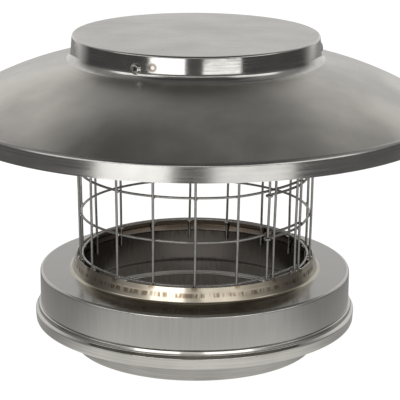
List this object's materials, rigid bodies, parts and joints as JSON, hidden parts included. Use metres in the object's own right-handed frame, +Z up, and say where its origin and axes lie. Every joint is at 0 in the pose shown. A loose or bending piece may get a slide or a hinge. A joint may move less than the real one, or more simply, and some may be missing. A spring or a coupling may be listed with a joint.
{
  "type": "chimney cap",
  "caption": "Round metal rain hat with a raised flat crown on a rolled wire screen, over a stepped twin-wall flue base with a neck, skirt, locking band and bell socket.",
  "frame": {"origin": "centre of the bell socket's bottom rim", "axes": "+Z up the flue, -Y towards the front rivet's side"},
  "size_m": [0.3172, 0.3172, 0.2055],
  "materials": {
    "spun_hat": "spun stainless sheet, satin on the disc and brim, bright on the crown wall and rim",
    "rivet": "bright stainless blind rivet",
    "clip_strip": "satin stainless strip",
    "screen_wire": "bright drawn stainless wire, welded",
    "base_sheet": "bright stainless sheet, heat tint by the welds",
    "liner_sheet": "dull stainless sheet",
    "rolled_ring": "polished rolled stainless band"
  },
  "bodies": {
    "root": {"rain_hat": "spun_hat", "crown_rivet_1": "rivet", "crown_rivet_2": "rivet", "crown_rivet_3": "rivet", "hat_clip_1": "clip_strip", "hat_clip_2": "clip_strip", "hat_clip_3": "clip_strip", "screen_ring_1": "screen_wire", "screen_ring_2": "screen_wire", "screen_ring_3": "screen_wire", "screen_ring_4": "screen_wire", "screen_ring_5": "screen_wire", "screen_ring_6": "screen_wire", "screen_upright_01": "screen_wire", "screen_upright_02": "screen_wire", "screen_upright_03": "screen_wire", "screen_upright_04": "screen_wire", "screen_upright_05": "screen_wire", "screen_upright_06": "screen_wire", "screen_upright_07": "screen_wire", "screen_upright_08": "screen_wire", "screen_upright_09": "screen_wire", "screen_upright_10": "screen_wire", "screen_upright_11": "screen_wire", "screen_upright_12": "screen_wire", "screen_upright_13": "screen_wire", "screen_upright_14": "screen_wire", "screen_upright_15": "screen_wire", "screen_upright_16": "screen_wire", "screen_upright_17": "screen_wire", "screen_upright_18": "screen_wire", "screen_upright_19": "screen_wire", "screen_upright_20": "screen_wire", "base_cover": "base_sheet", "flue_liner": "liner_sheet", "locking_ring": "rolled_ring"}
  },
  "joints": []
}
